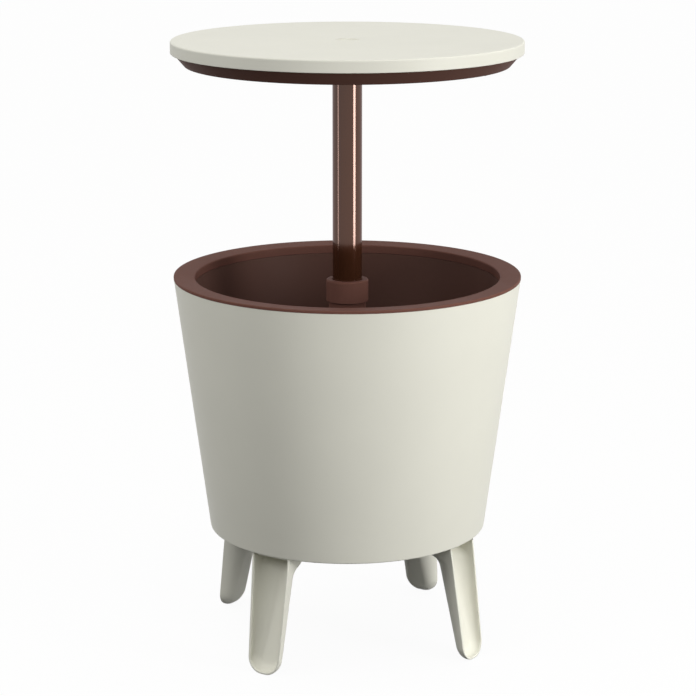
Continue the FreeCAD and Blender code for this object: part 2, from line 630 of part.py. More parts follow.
def bucket_liner():
    """Brown inner bucket that hangs from the rim, with a sump round the drain."""
    floor_inner = shell_radius(LINER_FLOOR_BOTTOM) - SHELL_WALL - LINER_GAP_AT_FLOOR - LINER_WALL
    neck_inner = RIM_OPENING_RADIUS + RIM_COLLAR_WALL + SEAT_CLEARANCE
    flange_radius = neck_inner + LINER_FLANGE
    flange_bottom = RIM_UNDERSIDE - LINER_WALL
    ledge = RIM_INNER_TOP - RIM_COLLAR_DEPTH - SEAT_CLEARANCE
    hole = GUIDE_OUTER_RADIUS + HOLE_CLEARANCE
    shape = turned([
        (hole, LINER_FLOOR_BOTTOM, 0),
        (floor_inner + LINER_WALL, LINER_FLOOR_BOTTOM, LINER_CORNER_ROUND + LINER_WALL),
        (RIM_OPENING_RADIUS + LINER_WALL, ledge - LINER_WALL, 0),
        (neck_inner + LINER_WALL, ledge, 0),
        (neck_inner + LINER_WALL, flange_bottom, 0),
        (flange_radius, flange_bottom, 0),
        (flange_radius, RIM_UNDERSIDE, 0),
        (neck_inner, RIM_UNDERSIDE, 0),
        (neck_inner, ledge, 0),
        (RIM_OPENING_RADIUS, ledge, 0),
        (floor_inner, LINER_FLOOR_TOP, LINER_CORNER_ROUND),
        (hole, LINER_FLOOR_TOP, 0)])
    x, y = DRAIN_PLACE
    sump_top = LINER_FLOOR_TOP - SUMP_DEPTH
    sump_bottom = LINER_FLOOR_BOTTOM - SUMP_DEPTH
    shape = shape.fuse(rod(SUMP_RADIUS + LINER_WALL, sump_bottom, LINER_FLOOR_TOP, x, y))
    shape = shape.cut(rod(SUMP_RADIUS, sump_top, LINER_FLOOR_TOP + CUT_MARGIN, x, y))
    shape = drilled(shape, [DRAIN_PLACE], DRAIN_TUBE_RADIUS + THREAD_CLEARANCE,
                    sump_bottom - CUT_MARGIN, LINER_FLOOR_TOP)
    return drilled(shape, RIM_SCREWS, RIM_BOSS_RADIUS + SLIDE_CLEARANCE, flange_bottom - CUT_MARGIN,
                   RIM_UNDERSIDE + CUT_MARGIN)


# Levels of the drain
SUMP_FLOOR = LINER_FLOOR_TOP - SUMP_DEPTH
DRAIN_FLANGE_BOTTOM = SUMP_FLOOR + DRAIN_GASKET
DRAIN_MOUTH = LEG_HEIGHT - DRAIN_SPOUT


def at_drain(shape):
    """Move a piece made on the centre line to the drain."""
    shape.translate(Vector(DRAIN_PLACE[0], DRAIN_PLACE[1], 0))
    return shape


def drain_fitting():
    """Flanged tube from the bucket's sump down through both floors."""
    flange_top = DRAIN_FLANGE_BOTTOM + DRAIN_FLANGE
    return at_drain(turned([
        (DRAIN_BORE_RADIUS, DRAIN_MOUTH, 0),
        (DRAIN_TUBE_RADIUS, DRAIN_MOUTH, 0),
        (DRAIN_TUBE_RADIUS, DRAIN_FLANGE_BOTTOM, 0),
        (DRAIN_FLANGE_RADIUS, DRAIN_FLANGE_BOTTOM, 0),
        (DRAIN_FLANGE_RADIUS, flange_top, DRAIN_FLANGE / 2),
        (DRAIN_BORE_RADIUS, flange_top, DRAIN_FLANGE / 2)]))


def drain_gasket():
    """Rubber washer under the drain's flange."""
    return at_drain(tube(DRAIN_FLANGE_RADIUS, DRAIN_TUBE_RADIUS + THREAD_CLEARANCE, SUMP_FLOOR,
                         DRAIN_FLANGE_BOTTOM))


def drain_nut():
    """Nut under the sump that holds the drain fitting."""
    top = LINER_FLOOR_BOTTOM - SUMP_DEPTH
    return at_drain(nut(DRAIN_NUT_RADIUS, DRAIN_TUBE_RADIUS + THREAD_CLEARANCE, top - DRAIN_NUT, top,
                        HEX_SIDES))


# Levels of the drain plug
PLUG_SHANK_RADIUS = DRAIN_BORE_RADIUS - SLIDE_CLEARANCE
PLUG_HEAD_TOP = DRAIN_MOUTH - SLIDE_CLEARANCE
PLUG_SHANK_TOP = PLUG_HEAD_TOP + PLUG_SHANK
PLUG_RING_TOP = PLUG_SHANK_TOP - PLUG_RING_SET_BACK


def drain_plug():
    """Push-in plug with a flat grip, closing the drain from below."""
    head_bottom = PLUG_HEAD_TOP - PLUG_HEAD
    core = PLUG_SHANK_RADIUS - PLUG_RING_DEPTH
    shape = turned([
        (0, head_bottom, 0),
        (PLUG_HEAD_RADIUS, head_bottom, PLUG_HEAD / 3),
        (PLUG_HEAD_RADIUS, PLUG_HEAD_TOP, PLUG_HEAD / 3),
        (PLUG_SHANK_RADIUS, PLUG_HEAD_TOP, 0),
        (PLUG_SHANK_RADIUS, PLUG_RING_TOP - PLUG_RING, 0),
        (core, PLUG_RING_TOP - PLUG_RING, 0),
        (core, PLUG_RING_TOP, 0),
        (PLUG_SHANK_RADIUS, PLUG_RING_TOP, 0),
        (PLUG_SHANK_RADIUS, PLUG_SHANK_TOP, PLUG_RING_DEPTH),
        (0, PLUG_SHANK_TOP, 0)])
    half_width = PLUG_GRIP_WIDTH / 2
    half_thickness = PLUG_GRIP_THICKNESS / 2
    grip = block(-half_width, half_width, -half_thickness, half_thickness,
                 head_bottom - PLUG_GRIP_HEIGHT, head_bottom + PLUG_HEAD / 3)
    uprights = [edge for edge in grip.Edges if abs(edge.tangentAt(edge.FirstParameter).z) < NEAR
                and edge.BoundBox.ZMax < head_bottom and edge.BoundBox.XLength < NEAR]
    grip = grip.makeFillet(half_width / 2, uprights)
    return at_drain(shape.fuse(grip).removeSplitter())


def drain_plug_ring():
    """Rubber ring in the plug's groove that seals the drain's bore."""
    return at_drain(tube(DRAIN_BORE_RADIUS - RING_CLEARANCE, PLUG_SHANK_RADIUS - PLUG_RING_DEPTH,
                         PLUG_RING_TOP - PLUG_RING, PLUG_RING_TOP))


def pushed_in(corners, pushes, rounds):
    """Corners of a closed outline after each side is moved inwards, as (x, z, round)."""
    count = len(corners)
    area = sum(corners[k - 1][0] * corners[k][1] - corners[k][0] * corners[k - 1][1]
               for k in range(count))
    turn = 1 if area > 0 else -1
    sides = []
    for k in range(count):
        start = corners[k]
        end = corners[(k + 1) % count]
        length = math.hypot(end[0] - start[0], end[1] - start[1])
        direction = ((end[0] - start[0]) / length, (end[1] - start[1]) / length)
        inwards = (-direction[1] * turn, direction[0] * turn)
        moved = (start[0] + inwards[0] * pushes[k], start[1] + inwards[1] * pushes[k])
        sides.append((moved, direction))
    result = []
    for k in range(count):
        (ax, az), (adx, adz) = sides[k - 1]
        (bx, bz), (bdx, bdz) = sides[k]
        along = ((bx - ax) * bdz - (bz - az) * bdx) / (adx * bdz - adz * bdx)
        result.append((ax + adx * along, az + adz * along, rounds[k]))
    return result


def leg_front(level):
    """Radius of a leg's front face at a height."""
    return LEG_TOP_RADIUS + LEG_SPLAY * (1 - level / LEG_HEIGHT)


def leg_back(level):
    """Radius of a leg's straight back at a height, leaving out the flare at its top."""
    depth = LEG_FOOT_DEPTH + (LEG_TOP_DEPTH - LEG_FOOT_DEPTH) * level / LEG_HEIGHT
    return leg_front(level) - depth


def near_faces(faces, point):
    """True where a point lies on one of the faces."""
    probe = Part.Vertex(point)
    return any(face.distToShape(probe)[0] < NEAR for face in faces)


def facing(face):
    """Outward direction in the middle of a face."""
    u, v = face.Surface.parameter(face.CenterOfMass)
    return face.normalAt(u, v)


def edge_probes(edge):
    """Both ends and the middle of an edge."""
    first = edge.FirstParameter
    last = edge.LastParameter
    return [edge.valueAt(first), edge.valueAt((first + last) / 2), edge.valueAt(last)]


def across_leg(outline):
    """Bar along the radius with a front outline as its section."""
    face = Part.Face(eased_wire(outline))
    face.rotate(Vector(0, 0, 0), Vector(0, 0, 1), 90)
    return face.extrude(Vector(2 * LEG_TOP_RADIUS, 0, 0))


def leg_form(side, tall_outline, outline, back_round):
    """Solid common to a side profile and a front outline, with its back edges rounded."""
    profile = Part.Face(eased_wire(side)).extrude(Vector(0, 2 * LEG_WIDTH, 0))
    profile.translate(Vector(0, -LEG_WIDTH, 0))
    front = across_leg(tall_outline)
    form = profile.common(front).Solids[0]
    top = max(corner[1] for corner in tall_outline)
    back_faces = [face for face in profile.Faces if facing(face).x < -NEAR]
    side_faces = [face for face in front.Faces
                  if abs(facing(face).x) < NEAR and face.CenterOfMass.z < top - NEAR]
    edges = [edge for edge in form.Edges
             if all(near_faces(back_faces, point) and near_faces(side_faces, point)
                    for point in edge_probes(edge))]
    return form.makeFillet(back_round, edges).common(across_leg(outline)).Solids[0]


def leg_outline(top, top_round, foot_round):
    """Front outline of a leg, from the floor to a level at or above its top."""
    half = LEG_WIDTH / 2
    return [(-half, top, top_round), (half, top, top_round),
            (half, 0, foot_round), (-half, 0, foot_round)]


def leg():
    """Hollow leg: a thin-walled scoop open to the outside, closed at the foot and under the body."""
    knee = LEG_HEIGHT - LEG_FLARE_DROP
    flange = knee + LEG_FLARE_RISE
    tall = LEG_HEIGHT + LEG_FLARE_DROP
    flange_back = leg_back(flange) - LEG_FLARE_REACH
    side = [
        (leg_front(0), 0, 0),
        (leg_front(tall), tall, 0),
        (flange_back, tall, 0),
        (flange_back, flange, LEG_FLANGE_ROUND),
        (leg_back(knee), knee, LEG_FLARE_ROUND),
        (leg_back(0), 0, 0)]
    foot_round = (LEG_WIDTH - LEG_FOOT_FLAT) / 2
    tall_outline = leg_outline(tall, 0, foot_round)
    outline = leg_outline(LEG_HEIGHT, LEG_TOP_ROUND, foot_round)
    form = leg_form(side, tall_outline, outline, LEG_BACK_ROUND)

    walls = [0, LEG_WALL, LEG_WALL, LEG_WALL]
    plate_and_walls = [LEG_PLATE, LEG_WALL, LEG_WALL, LEG_WALL]
    inner_round = foot_round - LEG_WALL
    hollow_side = pushed_in(side, [-LEG_WALL, 0, LEG_WALL, LEG_WALL, LEG_WALL, -LEG_WALL],
                            [0, 0, 0, LEG_FLANGE_ROUND - LEG_WALL, LEG_FLARE_ROUND + LEG_WALL, 0])
    hollow = leg_form(hollow_side,
                      pushed_in(tall_outline, walls, [0, 0, inner_round, inner_round]),
                      pushed_in(outline, plate_and_walls,
                                [LEG_TOP_ROUND, LEG_TOP_ROUND, inner_round, inner_round]),
                      LEG_BACK_ROUND - LEG_WALL)
    shape = form.cut(hollow)
    rim_edges = [edge for edge in shape.Edges
                 if all(abs(point.x - leg_front(point.z)) < NEAR for point in edge_probes(edge))]
    shape = shape.makeFillet(min(LEG_RIM_ROUND, LEG_WALL / 3), rim_edges)
    distance = LEG_TOP_RADIUS - LEG_SCREW_SET_IN
    holes = [(distance, -LEG_SCREW_SPACING / 2), (distance, LEG_SCREW_SPACING / 2)]
    return drilled(shape, holes, SCREW_RADIUS + THREAD_CLEARANCE, LEG_HEIGHT - LEG_PLATE - CUT_MARGIN,
                   LEG_HEIGHT + CUT_MARGIN)


def main():
    os.makedirs("parts", exist_ok=True)
    export(table_top_cover(), "table_top_cover")
    export(centre_cap(), "centre_cap")
    export(centre_bolt(), "centre_bolt")
    export(table_tray(), "table_tray")
    export(pole_hub(), "pole_hub")
    export(pole_tube(), "pole_tube")
    export(pole_top_plug(), "pole_top_plug")
    export(lock_spindle(), "lock_spindle")
    export(lock_washer(), "lock_washer")
    export(lock_screw(), "lock_screw")
    export(lock_sleeve(), "lock_sleeve")
    export(guide_tube(), "guide_tube")
    export(guide_collar(), "guide_collar")
    export(guide_seal(), "guide_seal")
    export(guide_nut(), "guide_nut")
    export(guide_foot(), "guide_foot")
    export(rim_ring(), "rim_ring")
    export(outer_shell(), "outer_shell")
    export(bucket_liner(), "bucket_liner")
    export(drain_fitting(), "drain_fitting")
    export(drain_gasket(), "drain_gasket")
    export(drain_nut(), "drain_nut")
    export(drain_plug(), "drain_plug")
    export(drain_plug_ring(), "drain_plug_ring")

    moulding = leg()
    for name, angle in zip(("front_right", "rear_right", "rear_left", "front_left"), LEG_ANGLES):
        placed = moulding.copy()
        placed.rotate(Vector(0, 0, 0), Vector(0, 0, 1), angle)
        export(placed, "leg_" + name)

    screws = [screw_from_below(x, y, TRAY_BOTTOM) for x, y in TRAY_SCREWS]
    export(Part.makeCompound(screws), "tray_screws")
    screws = [screw_from_below(x, y, TRAY_BOTTOM) for x, y in HUB_SCREWS]
    export(Part.makeCompound(screws), "hub_screws")
    screws = [screw_from_below(x, y, LEG_HEIGHT) for x, y in FOOT_SCREWS]
    export(Part.makeCompound(screws), "guide_foot_screws")
    screws = [screw_from_below(x, y, LEG_HEIGHT - LEG_PLATE, SCREW_REACH + LEG_PLATE)
              for x, y in LEG_SCREWS]
    export(Part.makeCompound(screws), "leg_screws")
    screws = [screw_from_below(x, y, RIM_UNDERSIDE - LINER_WALL, RIM_SCREW_REACH)
              for x, y in RIM_SCREWS]
    export(Part.makeCompound(screws), "rim_screws")

    print("top level %.2f, lift %.2f, tray bottom %.2f" % (TOP_LEVEL, LIFT, TRAY_BOTTOM))
    print("pole from %.2f to %.2f, guide top %.2f" % (POLE_BOTTOM, POLE_TOP, GUIDE_TOP))
    print("plug shank %.2f, drain at %.2f, %.2f" % (PLUG_SHANK, DRAIN_PLACE[0], DRAIN_PLACE[1]))


main()
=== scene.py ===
import json
import math

import bmesh
import bpy
from mathutils import Matrix, Vector


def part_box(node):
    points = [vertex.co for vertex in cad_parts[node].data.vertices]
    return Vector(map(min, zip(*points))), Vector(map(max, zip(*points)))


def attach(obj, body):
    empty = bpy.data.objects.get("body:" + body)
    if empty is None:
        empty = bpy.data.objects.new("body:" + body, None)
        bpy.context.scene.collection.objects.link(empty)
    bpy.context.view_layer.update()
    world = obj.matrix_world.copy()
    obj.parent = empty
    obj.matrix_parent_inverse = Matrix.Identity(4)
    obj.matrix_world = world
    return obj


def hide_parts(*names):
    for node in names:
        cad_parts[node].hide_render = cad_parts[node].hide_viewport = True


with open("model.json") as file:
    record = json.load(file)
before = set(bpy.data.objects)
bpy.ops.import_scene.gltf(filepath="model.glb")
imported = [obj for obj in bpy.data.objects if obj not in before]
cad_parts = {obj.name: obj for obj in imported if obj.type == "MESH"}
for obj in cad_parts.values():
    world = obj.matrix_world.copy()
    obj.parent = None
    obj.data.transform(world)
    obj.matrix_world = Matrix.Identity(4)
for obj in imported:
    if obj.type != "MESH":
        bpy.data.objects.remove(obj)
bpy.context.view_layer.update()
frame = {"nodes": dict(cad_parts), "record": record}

# The studio: a camera a little above the table, a wide floor and four soft boxes, the brightest
# of them tall and on the right. The floor and the sky look white to the camera and in reflections,
# while the object gets the sky's light from above and little light from the floor.
CAMERA_PLACE = (0.00099, -3.33736, 1.23631)
CAMERA_DOWN = math.radians(13.596)
FOCAL_LENGTH_PX = 2383.26
IMAGE_PX = 696
SENSOR_MM = 36.0
VIEW_DISTANCE = 100.0

camera = bpy.data.objects.new("camera", bpy.data.cameras.new("camera"))
camera.data.sensor_width = SENSOR_MM
camera.data.lens = FOCAL_LENGTH_PX / IMAGE_PX * SENSOR_MM
camera.data.clip_end = VIEW_DISTANCE
camera.location = CAMERA_PLACE
camera.rotation_euler = (math.radians(90.0) - CAMERA_DOWN, 0.0, 0.0)
bpy.context.scene.collection.objects.link(camera)
bpy.context.scene.camera = camera
bpy.context.scene.view_settings.view_transform = "Standard"

LAMP_AIM = Vector((0.0, 0.0, 0.5))
LAMP_DISTANCE = 2.6


def soft_lamp(name, azimuth, elevation, width, height, power):
    """Soft box at an azimuth to the right of the camera, turned to the middle of the table."""
    turn = math.radians(azimuth)
    rise = math.radians(elevation)
    outwards = Vector((math.sin(turn) * math.cos(rise), -math.cos(turn) * math.cos(rise), math.sin(rise)))
    lamp = bpy.data.objects.new(name, bpy.data.lights.new(name, "AREA"))
    lamp.data.shape = "RECTANGLE"
    lamp.data.size = width
    lamp.data.size_y = height
    lamp.data.energy = power
    lamp.location = LAMP_AIM + outwards * LAMP_DISTANCE
    lamp.rotation_euler = (-outwards).to_track_quat("-Z", "Y").to_euler()
    bpy.context.scene.collection.objects.link(lamp)


soft_lamp("key_lamp", azimuth=57, elevation=4, width=0.8, height=1.25, power=46)
soft_lamp("left_lamp", azimuth=-75, elevation=4, width=0.35, height=1.25, power=7)
soft_lamp("left_fill", azimuth=-50, elevation=25, width=1.2, height=1.2, power=8)
soft_lamp("front_fill", azimuth=0, elevation=20, width=1.2, height=1.2, power=3.5)


def shows_white(nodes, links):
    """1 where the camera, a reflection or a see-through path looks straight at the surface."""
    path = nodes.new("ShaderNodeLightPath")
    seen = nodes.new("ShaderNodeMath")
    seen.operation = "MAXIMUM"
    links.new(path.outputs["Is Camera Ray"], seen.inputs[0])
    links.new(path.outputs["Is Glossy Ray"], seen.inputs[1])
    either = nodes.new("ShaderNodeMath")
    either.operation = "MAXIMUM"
    links.new(seen.outputs[0], either.inputs[0])
    links.new(path.outputs["Is Transmission Ray"], either.inputs[1])
    return either.outputs[0]


SKY_OVERHEAD = 1.24
sky = bpy.data.worlds.new("sky")
sky.use_nodes = True
bpy.context.scene.world = sky
sky_nodes = sky.node_tree.nodes
sky_links = sky.node_tree.links
way = sky_nodes.new("ShaderNodeSeparateXYZ")
sky_links.new(sky_nodes.new("ShaderNodeTexCoord").outputs["Generated"], way.inputs["Vector"])
overhead = sky_nodes.new("ShaderNodeMapRange")
overhead.interpolation_type = "SMOOTHSTEP"
overhead.inputs["To Max"].default_value = SKY_OVERHEAD
sky_links.new(way.outputs["Z"], overhead.inputs["Value"])
strength = sky_nodes.new("ShaderNodeMapRange")
sky_links.new(shows_white(sky_nodes, sky_links), strength.inputs["Value"])
sky_links.new(overhead.outputs["Result"], strength.inputs["To Min"])
background = sky_nodes["Background"]
background.inputs["Color"].default_value = (1.0, 1.0, 1.0, 1.0)
sky_links.new(strength.outputs["Result"], background.inputs["Strength"])

FLOOR_RADIUS = 40.0
FLOOR_COLOUR = (0.04, 0.04, 0.039, 1.0)
FLOOR_GLOW = 0.95
floor_paint = bpy.data.materials.new("floor_paint")
floor_paint.use_nodes = True
floor_nodes = floor_paint.node_tree.nodes
floor_links = floor_paint.node_tree.links
floor_shader = floor_nodes["Principled BSDF"]
floor_shader.inputs["Base Color"].default_value = FLOOR_COLOUR
floor_shader.inputs["Roughness"].default_value = 0.9
floor_shader.inputs["Specular IOR Level"].default_value = 0.0
floor_shader.inputs["Emission Color"].default_value = (1.0, 1.0, 1.0, 1.0)
glow = floor_nodes.new("ShaderNodeMapRange")
glow.inputs["To Max"].default_value = FLOOR_GLOW
floor_links.new(shows_white(floor_nodes, floor_links), glow.inputs["Value"])
floor_links.new(glow.outputs["Result"], floor_shader.inputs["Emission Strength"])

floor_mesh = bpy.data.meshes.new("floor")
floor_bm = bmesh.new()
bmesh.ops.create_circle(floor_bm, cap_ends=True, segments=96, radius=FLOOR_RADIUS)
floor_bm.to_mesh(floor_mesh)
floor_bm.free()
floor_mesh.materials.append(floor_paint)
floor = bpy.data.objects.new("floor", floor_mesh)
bpy.context.scene.collection.objects.link(floor)

# The table top: one off-white moulded cover, flat on top with a soft edge and a deep skirt.
# It is injection moulded in polypropylene, with a satin grain from its mould, and its centre
# boss is bolted down to the plug in the pole.
MM = 0.001
NEAR = 0.01
TURN_STEPS = 192
ROUND_STEPS = 6
SHARP_ANGLE = math.radians(34.0)
CREAM = (0.79, 0.78, 0.685)
SHEEN_SPREAD = 0.05
GRAIN_SIZE = 0.7
GRAIN_RELIEF = 0.04


def turned(corners, steps=TURN_STEPS):
    """Mesh of a closed outline turned a full circle about the pole.

    Each corner is its radius and height in millimetres and the length that its rounding takes."""
    bm = bmesh.new()
    verts = [bm.verts.new((radius * MM, 0.0, height * MM)) for radius, height, rounding in corners]
    bm.faces.new(verts)
    for vert, (radius, height, rounding) in zip(verts, corners):
        if rounding > 0:
            bmesh.ops.bevel(bm, geom=[vert], affect="VERTICES", offset=rounding * MM,
                            offset_type="OFFSET", segments=ROUND_STEPS, profile=0.5, material=-1)
    bmesh.ops.delete(bm, geom=bm.faces[:], context="FACES_ONLY")
    on_axis = [edge for edge in bm.edges if max(vert.co.x for vert in edge.verts) < NEAR * MM]
    bmesh.ops.delete(bm, geom=on_axis, context="EDGES")
    bmesh.ops.spin(bm, geom=bm.verts[:] + bm.edges[:], cent=(0, 0, 0), axis=(0, 0, 1),
                   angle=math.tau, steps=steps, use_merge=True)
    bmesh.ops.remove_doubles(bm, verts=bm.verts, dist=NEAR * MM)
    bmesh.ops.recalc_face_normals(bm, faces=bm.faces)
    return bm


def put_in_place(bm, name, finish, body, slot, *nodes):
    """Named piece from a finished mesh, with its material, its body and the CAD nodes it stands for."""
    mesh = bpy.data.meshes.new(name)
    bm.to_mesh(mesh)
    bm.free()
    mesh.shade_smooth()
    mesh.set_sharp_from_angle(angle=SHARP_ANGLE)
    mesh.materials.append(finish)
    piece = bpy.data.objects.new(name, mesh)
    bpy.context.scene.collection.objects.link(piece)
    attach(piece, body)
    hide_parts(*nodes)
    return piece


def even_shading(piece):
    """Flat faces stay flat in the light where they meet a rounded edge."""
    weights = piece.modifiers.new("even_shading", "WEIGHTED_NORMAL")
    weights.keep_sharp = True


def blank_finish(name):
    """New material, with its nodes, its links, its shader and its Object coordinates."""
    material = bpy.data.materials.new(name)
    material.use_nodes = True
    nodes = material.node_tree.nodes
    place = nodes.new("ShaderNodeTexCoord").outputs["Object"]
    return material, nodes, material.node_tree.links, nodes["Principled BSDF"], place


def noise(nodes, links, place, scale, detail):
    """Cloudy pattern at a place."""
    cloud = nodes.new("ShaderNodeTexNoise")
    cloud.inputs["Scale"].default_value = scale
    cloud.inputs["Detail"].default_value = detail
    links.new(place, cloud.inputs["Vector"])
    return cloud.outputs["Fac"]


def vary_tone(nodes, links, shader, pattern, colour, darker, lighter):
    """Base colour that drifts with a pattern between two shares of a colour."""
    tone = nodes.new("ShaderNodeMix")
    tone.data_type = "RGBA"
    tone.inputs["A"].default_value = tuple(c * darker for c in colour) + (1.0,)
    tone.inputs["B"].default_value = tuple(min(1.0, c * lighter) for c in colour) + (1.0,)
    links.new(pattern, tone.inputs["Factor"])
    links.new(tone.outputs["Result"], shader.inputs["Base Color"])


def vary_sheen(nodes, links, shader, pattern, smoothest, roughest):
    """Roughness that drifts with a pattern between two values."""
    sheen = nodes.new("ShaderNodeMapRange")
    sheen.inputs["To Min"].default_value = smoothest
    sheen.inputs["To Max"].default_value = roughest
    links.new(pattern, sheen.inputs["Value"])
    links.new(sheen.outputs["Result"], shader.inputs["Roughness"])


def moulded_plastic(name, colour, roughness, drift=0.03, grain=0.5, specular=0.5):
    """Moulded polypropylene: a slow drift of tone, an uneven sheen and a fine spark-eroded grain."""
    material, nodes, links, shader, place = blank_finish(name)
    shader.inputs["Specular IOR Level"].default_value = specular
    flow = noise(nodes, links, place, scale=9.0, detail=3.0)
    vary_tone(nodes, links, shader, flow, colour, 1 - drift, 1 + drift)
    cloud = noise(nodes, links, place, scale=38.0, detail=4.0)
    vary_sheen(nodes, links, shader, cloud, roughness - SHEEN_SPREAD, roughness + SHEEN_SPREAD)
    relief = nodes.new("ShaderNodeBump")
    relief.inputs["Strength"].default_value = grain
    relief.inputs["Distance"].default_value = GRAIN_RELIEF * MM
    pits = noise(nodes, links, place, scale=1.0 / (GRAIN_SIZE * MM), detail=2.0)
    links.new(pits, relief.inputs["Height"])
    links.new(relief.outputs["Normal"], shader.inputs["Normal"])
    return material


cream_plastic = moulded_plastic("cream_plastic", CREAM, roughness=0.45, specular=0.15)

cover_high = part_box("table_top_cover")[1]
TOP_RADIUS = cover_high.x / MM
TOP_LEVEL = cover_high.z / MM
SKIRT_HEIGHT = 17.2
SKIRT_BOTTOM = TOP_LEVEL - SKIRT_HEIGHT
SKIRT_WALL = 2.6
TOP_SHEET = 3.0
CAP_ROOM_RADIUS = 16.2
CAP_ROOM_DEPTH = 2.4
BOLT_HEAD_ROOM = 7.0
BOLT_HOLE = 4.5
BOLT_SEAT_DEPTH = 6.9
BOLT_SEAT = TOP_LEVEL - BOLT_SEAT_DEPTH
BOSS_RADIUS = 22.0
BOSS_FLOOR = 5.0

cover = turned([
    (BOLT_HOLE, BOLT_SEAT - BOSS_FLOOR, 0),
    (BOSS_RADIUS, BOLT_SEAT - BOSS_FLOOR, 0.8),
    (BOSS_RADIUS, TOP_LEVEL - TOP_SHEET, 0.8),
    (TOP_RADIUS - SKIRT_WALL, TOP_LEVEL - TOP_SHEET, 0.8),
    (TOP_RADIUS - SKIRT_WALL, SKIRT_BOTTOM, 0.8),
    (TOP_RADIUS, SKIRT_BOTTOM, 0.8),
    (TOP_RADIUS, TOP_LEVEL, 2.4),
    (CAP_ROOM_RADIUS, TOP_LEVEL, 0.8),
    (CAP_ROOM_RADIUS, TOP_LEVEL - CAP_ROOM_DEPTH, 0),
    (BOLT_HEAD_ROOM, TOP_LEVEL - CAP_ROOM_DEPTH, 0),
    (BOLT_HEAD_ROOM, BOLT_SEAT, 0),
    (BOLT_HOLE, BOLT_SEAT, 0)])
even_shading(put_in_place(cover, "top_cover", cream_plastic, "table", "cream_plastic", "table_top_cover"))

# The centre cap: a small dished disc of the same off-white plastic, pressed into the recess
# over the centre bolt.
SLIM_TURN_STEPS = 96
CAP_RADIUS = 16.0
CAP_RIM = 1.4
CAP_DISH = 1.9
CAP_SLOPE = 1.1

centre_disc = turned([
    (0, TOP_LEVEL - CAP_ROOM_DEPTH, 0),
    (CAP_RADIUS, TOP_LEVEL - CAP_ROOM_DEPTH, 0),
    (CAP_RADIUS, TOP_LEVEL, 0.6),
    (CAP_RADIUS - CAP_RIM, TOP_LEVEL, 0.3),
    (CAP_RADIUS - CAP_RIM - CAP_SLOPE, TOP_LEVEL - CAP_DISH, 0.5),
    (0, TOP_LEVEL - CAP_DISH, 0)], steps=SLIM_TURN_STEPS)
even_shading(put_in_place(centre_disc, "centre_disc", cream_plastic, "table", "cream_plastic", "centre_cap"))

# The tray under the table top: a shallow brown dish whose wall flares up to a straight lip.
# It is injection moulded in brown polypropylene and screwed up into the cover from below.
# A small nib stands out from the edge of its flat underside.
BROWN = (0.160, 0.073, 0.056)
# A darker copy of the rim's brown: painted shade, used for the tray under the table top and for the inside
# of the bucket.
PAINTED_SHADE_BROWN = (0.105, 0.052, 0.040)
TRAY_SHEET = 3.0
TRAY_HOLE = 21.2
TRAY_FLAT_SET_IN = 19.5
TRAY_FLAT_RADIUS = TOP_RADIUS - TRAY_FLAT_SET_IN
TRAY_EDGE_SET_IN = 4.4
TRAY_EDGE_RADIUS = TOP_RADIUS - TRAY_EDGE_SET_IN
LIP_PROUD = 1.5
LIP_RADIUS = TRAY_EDGE_RADIUS + LIP_PROUD
LIP_HEIGHT = 9.0
NIB_AZIMUTH = math.radians(-35.4)
NIB_WIDTH = 4.0
NIB_HEIGHT = 2.6
NIB_PROUD = 1.2
NIB_DEPTH = 4.2
NIB_LIFT = 0.2
NIB_ROUND = 0.5

brown_plastic = moulded_plastic("brown_plastic", BROWN, roughness=0.50, drift=0.05, specular=0.02)
# The tray is the rim's brown plastic; its darker colour is painted shade from the table top above it.
tray_painted_shade_plastic = moulded_plastic("tray_painted_shade_plastic", PAINTED_SHADE_BROWN, roughness=0.50, drift=0.05, specular=0.02)

TRAY_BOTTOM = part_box("table_tray")[0].z / MM
tray = turned([
    (TRAY_HOLE, TRAY_BOTTOM, 0.4),
    (TRAY_FLAT_RADIUS, TRAY_BOTTOM, 1.5),
    (TRAY_EDGE_RADIUS, SKIRT_BOTTOM, 0.6),
    (LIP_RADIUS, SKIRT_BOTTOM + TRAY_SHEET, 0.4),
    (LIP_RADIUS, SKIRT_BOTTOM + LIP_HEIGHT, 0.3),
    (LIP_RADIUS - TRAY_SHEET, SKIRT_BOTTOM + LIP_HEIGHT, 0.3),
    (LIP_RADIUS - TRAY_SHEET, SKIRT_BOTTOM + TRAY_SHEET, 0.4),
    (TRAY_EDGE_RADIUS - TRAY_SHEET, SKIRT_BOTTOM, 0.6),
    (TRAY_FLAT_RADIUS - TRAY_SHEET, TRAY_BOTTOM + TRAY_SHEET, 1.5),
    (TRAY_HOLE, TRAY_BOTTOM + TRAY_SHEET, 0)])
nib = bmesh.ops.create_cube(tray, size=1.0)["verts"]
bmesh.ops.scale(tray, verts=nib, vec=(NIB_DEPTH * MM, NIB_WIDTH * MM, NIB_HEIGHT * MM))
nib_reach = TRAY_FLAT_RADIUS + NIB_PROUD - NIB_DEPTH / 2
nib_level = TRAY_BOTTOM + NIB_LIFT + NIB_HEIGHT / 2
bmesh.ops.translate(tray, verts=nib, vec=(nib_reach * MM, 0.0, nib_level * MM))
nib_edges = list({edge for vert in nib for edge in vert.link_edges})
rounded = bmesh.ops.bevel(tray, geom=nib_edges, affect="EDGES", offset=NIB_ROUND * MM, segments=3,
                          profile=0.5, material=-1)
bmesh.ops.rotate(tray, verts=rounded["verts"], cent=(0, 0, 0),
                 matrix=Matrix.Rotation(NIB_AZIMUTH, 3, "Z"))
even_shading(put_in_place(tray, "brown_tray", tray_painted_shade_plastic, "table", "brown_plastic", "table_tray"))

# The centre pole: a drawn aluminium tube, cut square, deburred and coated in bronze-brown paint.
# Its top plug is bolted to the cover, and its foot carries the spindle of the twist lock.
BRONZE = (0.085, 0.030, 0.014)
POLE_WALL = 2.0


